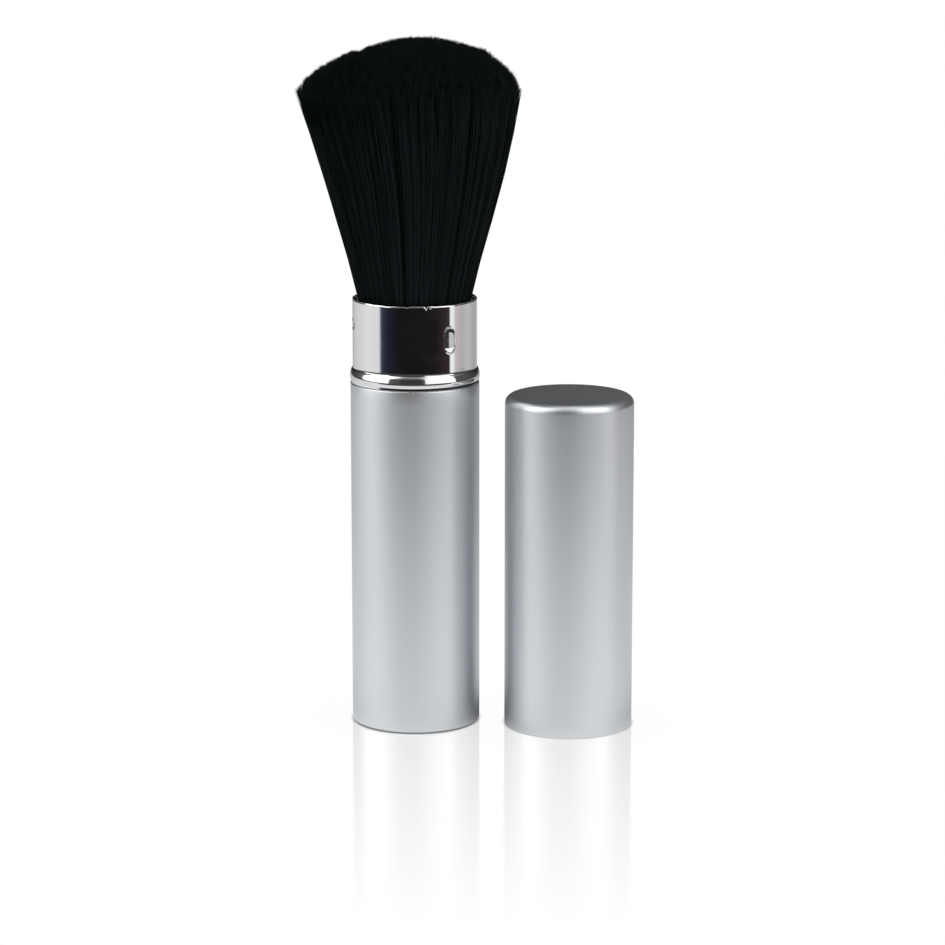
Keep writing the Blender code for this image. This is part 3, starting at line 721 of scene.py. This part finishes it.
def punch(radius, bearing, height):
    # stabbed dents: pinched above, with a floor that comes out below, and a faint lip
    upward, left, right, downward = collar["dimple flat"]
    for degrees, middle, size, tall, shadeReach in collar["dimples"]:
        across, up, reach = dimpleReach(degrees, middle, tall, bearing, height)
        rise = up / (reach + 1e-9)
        side = left + (right - left) * np.clip(across * 2 + 0.5, 0, 1)
        flat = side + np.where(rise > 0, (upward - side) * rise, (side - downward) * rise)
        wall = np.clip((reach - flat) / (1 - flat), 0, 1)
        least, most = collar["dimple floor"]
        floor = least + (most - least) * np.clip(across * 2.5 + 0.2, 0, 1)
        dent = valueAt(collar["dimple profile"], up)
        dent = size * dent * np.where(dent > 0, floor, collar["dimple foot"])
        dent = dent * (1 - wall ** 2 * (3 - 2 * wall))
        lip = np.exp(-((reach - 1.05) / 0.06) ** 2) * 0.045 * np.clip(rise * 1.3, 0, 1)
        lip = lip * np.clip(0.6 - across, 0, 1)
        radius = radius - np.where(np.abs(across) < 3, dent - lip, 0)
    return radius, bearing, height


def tearRim(radius, bearing, height):
    # the rim's cut edge wanders, with a break, a slit and a burr in front
    near = np.clip((height - (collar["rim"] - 0.9)) / 0.9, 0, 1) ** 2
    degrees = np.degrees(bearing)
    wander = 0.035 * np.sin(bearing * 7 + 0.6) + 0.02 * np.sin(bearing * 23 + 2.0)
    nick = -0.16 * np.exp(-((degrees + 6) / 0.9) ** 2)
    slit = -0.55 * np.exp(-((degrees - 11.6) / 0.8) ** 2)
    burr = 0.10 * np.exp(-((degrees - 15.5) / 2.2) ** 2) + 0.05 * np.exp(-((degrees - 25) / 1.5) ** 2)
    height = height + near * np.minimum(wander + nick + slit + burr - 0.05, 0.0)
    curl = 0.09 * np.exp(-((degrees - 15.5) / 2.0) ** 2) - 0.10 * np.exp(-((degrees - 11.6) / 0.9) ** 2)
    return radius + near * curl, bearing, height


def makeCollar():
    outer, wall, rim = collar["radius"], collar["wall"], collar["rim"]
    foot, skirt = collar["skirt foot"], collar["skirt radius"]
    section = [(outer - wall * 0.3, rim), (outer - 0.05, rim - 0.02)]
    section += [(outer, rim - 0.07)]
    section += line((outer, rim - 0.07), (outer, 71.0), 0.22)
    section += line((outer, 71.0), (outer, 65.2), 0.14)
    section += line((outer, 65.2), (outer, collar["bead top"] + 0.12), 0.5)
    section += [(outer, collar["bead top"] + 0.12), (outer + 0.02, collar["bead top"] + 0.03)]
    section += beadSection(16)[1:]
    heel, heelFoot = collar["heel radius"], collar["heel foot"]
    section += [(heel, collar["bead foot"] - drop) for drop in (0.015, 0.03, 0.12)]
    section += [(heel, heelFoot + rise) for rise in (0.12, 0.05, 0.035)]
    section += [(heel - 0.02, heelFoot + 0.008), (heel - 0.04, heelFoot), (skirt, heelFoot)]
    section += line((skirt, heelFoot), (skirt, foot + 0.05), 1.2)
    section += [(skirt, foot + 0.05), (skirt - 0.05, foot), (skirt - wall, foot)]
    section += line((skirt - wall, foot), (skirt - wall, collar["bead foot"]), 1.2)
    section += list(reversed(beadSection(8, wall)))
    section += line((outer - wall, collar["bead top"]), (outer - wall, 65.2), 0.5)
    section += line((outer - wall, 65.2), (outer - wall, 71.0), 0.25)
    section += line((outer - wall, 71.0), (outer - wall, rim - 0.04), 0.5)
    section += [(outer - wall, rim - 0.04)]
    tube = turn("collar_tube", section, mirrorChrome, collar["segments"])
    moved(tube.data, punch)
    moved(tube.data, tearRim)
    tube.data.materials.append(rawCutEdge)
    # painted shade for the walls above the dents and for the groove under the bead
    tube.data.materials.append(paintedCreaseShade)
    # rougher chrome inside the dents, darkened as painted shade
    tube.data.materials.append(dentShadedChrome)
    for face in tube.data.polygons:
        x, y, z = (value / mm for value in face.center)
        bearing = math.atan2(x, -y)
        if face.normal.z > 0.5 and z > rim - 0.9:
            face.material_index = 1
        if math.hypot(x, y) < outer - wall * 1.5:
            continue
        if heelFoot + 0.05 < z < collar["bead foot"] - 0.03 and 18 < math.degrees(bearing) < 88:
            face.material_index = 2          # painted shade in one side of the groove under the bead
        if z < 62.5:
            continue
        for degrees, middle, size, tall, shadeReach in collar["dimples"]:
            across, up, reach = dimpleReach(degrees, middle, tall, bearing, z)
            # inside each dent: the darker chrome of painted shade
            if reach < 0.99:
                face.material_index = 3
            if 0.76 - size * 0.06 < reach < 0.98 and up > (0.55 if across < 0 else shadeReach) * reach:
                face.material_index = 2      # painted shade on the pinched wall above each dent
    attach(tube, "collar")
    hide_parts("beaded_collar")


makeCollar()
print("scene: collar beaded and punched")

# Hair: locks of fine strands that leave the ferrule, flare and end on a dome
hair = {
    "sectors": 24,                   # pieces round the axis
    "locks": 3600, "strands per lock": 11, "points": 7,
    "root height": 66.0, "wide height": 108.9,
    "strand thickness": 0.115, "lock width": 0.40, "length scatter": 0.24,
    "edge allowance": 0.33,          # how far the scatter in a lock carries strands outwards
    "keep": 0.41,                    # share of its radius that the tuft keeps when drawn in
    "seed": 7,
}
hairOutline = [(66.0, 7.85), (68.7, 8.15), (71.5, 9.20), (74.0, 9.85), (77.2, 10.45),
               (84.1, 12.42), (91.0, 14.28), (101.0, 16.95), (108.9, 19.05)]
hairDome = [(0.0, 8.95), (0.16, 8.80), (0.26, 8.42), (0.40, 7.78), (0.51, 7.12), (0.60, 6.55),
            (0.66, 5.92), (0.745, 4.90), (0.88, 3.22), (0.955, 1.60), (1.0, 0.15)]
hairShift = [(0.0, 1.30), (0.54, 0.80), (0.68, 0.42), (0.83, 0.0), (0.92, -0.42), (1.0, -0.93)]


def makeLocks():
    # sunflower spread of lock tips over the dome; returns each lock's points and its bearing
    chance = np.random.default_rng(hair["seed"])
    count = hair["locks"]
    index = np.arange(count)
    share = np.sqrt((index + 0.5) / count)
    angle = index * math.pi * (3 - math.sqrt(5)) + chance.normal(0, 0.02, count)
    share = np.clip(share + chance.normal(0, 0.006, count), 0, 0.9985)
    wobble = (0.22 * np.sin(3 * angle + 5 * share) + 0.16 * np.sin(7 * angle + 1.3)
              + 0.14 * np.sin(11 * share + 2 * angle)) * share
    wobble += chance.normal(0, 0.10, count)
    across = share * hairOutline[-1][1] * np.cos(angle)
    wobble += 0.25 * np.exp(-((across - 11.4) / 0.8) ** 2)      # a tuft and a nick in the dome
    wobble -= 0.40 * np.exp(-((across + 10.0) / 0.5) ** 2)
    top = hair["wide height"] + valueAt(hairDome, share) + wobble
    shift = valueAt(hairShift, share)
    sway = chance.normal(0, 0.80, count)         # round the axis
    bulge = chance.normal(0, 0.09, count)        # outwards
    locks = []
    for i in range(count):
        steps = np.linspace(0, 1, hair["points"])
        height = hair["root height"] + (top[i] - hair["root height"]) * steps
        radius = share[i] * (valueAt(hairOutline, np.minimum(height, hair["wide height"]))
                             - hair["edge allowance"])
        lean = shift[i] * np.clip((height - 92) / max(top[i] - 92, 1), 0, 1) ** 1.6
        radius = radius + bulge[i] * steps ** 2
        aside = sway[i] * np.sin(steps * math.pi * 0.8) * share[i]
        x = radius * math.cos(angle[i]) - aside * math.sin(angle[i]) + lean
        y = radius * math.sin(angle[i]) + aside * math.cos(angle[i])
        locks.append((angle[i] % math.tau, np.stack([x, y, height], 1) * mm))
    return locks


def makeHairTree():
    tree, given = openTree("hairLocks", {
        "Strands per Lock": ("NodeSocketInt", 8),
        "Lock Width": ("NodeSocketFloat", 0.4 * mm),
        "Root Share": ("NodeSocketFloat", 0.45),
        "Strand Thickness": ("NodeSocketFloat", 0.13 * mm),
        "Length Scatter": ("NodeSocketFloat", 0.4 * mm),
        "Wave": ("NodeSocketFloat", 0.34 * mm),
        "Seed": ("NodeSocketInt", 1),
        "Finish": ("NodeSocketMaterial", None),
    })
    locks = addNode(tree, "GeometryNodeMeshToCurve", {0: given["Geometry"]})
    strands = addNode(tree, "GeometryNodeDuplicateElements", {
        "Geometry": locks.outputs[0], "Amount": given["Strands per Lock"]}, domain="SPLINE")
    strand = addNode(tree, "GeometryNodeCurveOfPoint").outputs["Curve Index"]
    along = addNode(tree, "GeometryNodeSplineParameter").outputs["Factor"]

    def scatter(offset, low, high, kind="FLOAT"):
        seed = calc(tree, "ADD", given["Seed"], float(offset))
        names = {"FLOAT": ("Min_001", "Max_001"), "FLOAT_VECTOR": ("Min", "Max")}[kind]
        node = addNode(tree, "FunctionNodeRandomValue", data_type=kind)
        for socket in node.inputs:
            if socket.identifier in names:
                socket.default_value = low if socket.identifier == names[0] else high
            if socket.identifier == "ID":
                tree.links.new(strand, socket)
            if socket.identifier == "Seed":
                tree.links.new(seed, socket)
        return next(s for s in node.outputs if s.enabled)

    aside = scatter(11, (-1, -1, 0), (1, 1, 0), "FLOAT_VECTOR")
    spread = calc(tree, "MULTIPLY", remap(tree, along, 0.0, 1.0, 0.45, 1.0), given["Lock Width"])
    offset = addNode(tree, "ShaderNodeVectorMath", {0: aside}, operation="SCALE")
    tree.links.new(spread, offset.inputs["Scale"])
    place = addNode(tree, "GeometryNodeInputPosition").outputs[0]
    jitter = addNode(tree, "ShaderNodeCombineXYZ", {
        0: calc(tree, "MULTIPLY", strand, 0.37)}).outputs[0]
    ripple = addNode(tree, "ShaderNodeTexNoise", {
        "Vector": addNode(tree, "ShaderNodeVectorMath", {0: place, 1: jitter},
                          operation="ADD").outputs[0],
        "Scale": 90.0, "Detail": 1.0})
    centred = addNode(tree, "ShaderNodeVectorMath", {
        0: ripple.outputs["Color"], 1: (0.5, 0.5, 0.5)}, operation="SUBTRACT")
    wave = addNode(tree, "ShaderNodeVectorMath", {0: centred.outputs[0]}, operation="SCALE")
    tree.links.new(calc(tree, "MULTIPLY", calc(tree, "MULTIPLY", along, 2.0), given["Wave"]),
                   wave.inputs["Scale"])
    heading = addNode(tree, "GeometryNodeInputTangent").outputs[0]
    longer = calc(tree, "MULTIPLY", scatter(23, -1.0, 0.6), given["Length Scatter"])
    longer = calc(tree, "MULTIPLY", longer, calc(tree, "POWER", along, 5.0))
    stretch = addNode(tree, "ShaderNodeVectorMath", {0: heading}, operation="SCALE")
    tree.links.new(longer, stretch.inputs["Scale"])
    total = addNode(tree, "ShaderNodeVectorMath", {
        0: offset.outputs[0], 1: wave.outputs[0]}, operation="ADD")
    total = addNode(tree, "ShaderNodeVectorMath", {
        0: total.outputs[0], 1: stretch.outputs[0]}, operation="ADD")
    spreadOut = addNode(tree, "GeometryNodeSetPosition", {
        "Geometry": strands.outputs[0], "Offset": total.outputs[0]})

    shade = addNode(tree, "GeometryNodeStoreNamedAttribute", {
        "Geometry": spreadOut.outputs[0], "Name": "shade", "Value": scatter(37, 0.0, 1.0)},
        data_type="FLOAT", domain="POINT")
    run = addNode(tree, "GeometryNodeStoreNamedAttribute", {
        "Geometry": shade.outputs[0], "Name": "along", "Value": along},
        data_type="FLOAT", domain="POINT")
    ring = addNode(tree, "GeometryNodeCurvePrimitiveCircle", {"Resolution": 3, "Radius": 0.5})
    taper = remap(tree, along, 0.975, 1.0, 1.0, 0.30)
    thick = calc(tree, "MULTIPLY", scatter(53, 0.75, 1.15), given["Strand Thickness"])
    swept = addNode(tree, "GeometryNodeCurveToMesh", {
        "Curve": run.outputs[0], "Profile Curve": ring.outputs[0],
        "Scale": calc(tree, "MULTIPLY", taper, thick), "Fill Caps": True})
    welded = addNode(tree, "GeometryNodeMergeByDistance", {
        "Geometry": swept.outputs[0], "Distance": 0.0005 * mm})
    closeTree(tree, welded.outputs[0], given["Finish"])
    return tree


def makeHairFinish():
    material, tree, shader = newMaterial("blackHair", (0.004, 0.0062, 0.0068), 0.6)
    shader.inputs["Specular IOR Level"].default_value = 0.03
    shade = addNode(tree, "ShaderNodeAttribute", attribute_name="shade").outputs["Fac"]
    along = addNode(tree, "ShaderNodeAttribute", attribute_name="along").outputs["Fac"]
    streak = noise(tree, objectPlace(tree, (1, 1, 0.05)), 700.0, 3.0, 0.6)
    mix = calc(tree, "MULTIPLY_ADD", shade, 0.5, calc(tree, "MULTIPLY", streak, 0.5))
    colour = mixColour(tree, mix, (0.0068, 0.0104, 0.0113, 1), (0.0080, 0.0120, 0.0130, 1))
    lower = remap(tree, along, 0.2, 0.9, 0.30, 0.0)
    colour = mixColour(tree, lower, colour, (0.0125, 0.0172, 0.0188, 1))
    tip = remap(tree, along, 0.975, 1.0, 0.0, 0.12)
    colour = mixColour(tree, tip, colour, (0.020, 0.014, 0.011, 1))
    tree.links.new(colour, shader.inputs["Base Color"])
    tree.links.new(remap(tree, shade, 0.0, 1.0, 0.74, 0.86), shader.inputs["Roughness"])
    return material


def makeHair():
    tree = makeHairTree()
    finish = makeHairFinish()
    sectors = hair["sectors"]
    groups = [[] for i in range(sectors)]
    for bearing, points in makeLocks():
        groups[int(bearing / math.tau * sectors) % sectors].append(points)
    for i, group in enumerate(groups):
        points = np.concatenate(group)
        edges = []
        for k in range(len(group)):
            first = k * hair["points"]
            edges += [(first + j, first + j + 1) for j in range(hair["points"] - 1)]
        tuft = grow(f"hair_{i + 1:02d}", points.tolist(), edges, tree, {
            "Strands per Lock": hair["strands per lock"],
            "Lock Width": hair["lock width"] * mm,
            "Strand Thickness": hair["strand thickness"] * mm,
            "Length Scatter": hair["length scatter"] * mm,
            "Seed": hair["seed"] + 100 * i,
            "Finish": finish,
        })
        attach(tuft, "brush_head")
        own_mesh(tuft)
        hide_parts("hair_core", "hair_outer")


makeHair()
print("scene: hair grown")

scene.view_settings.view_transform = "Standard"
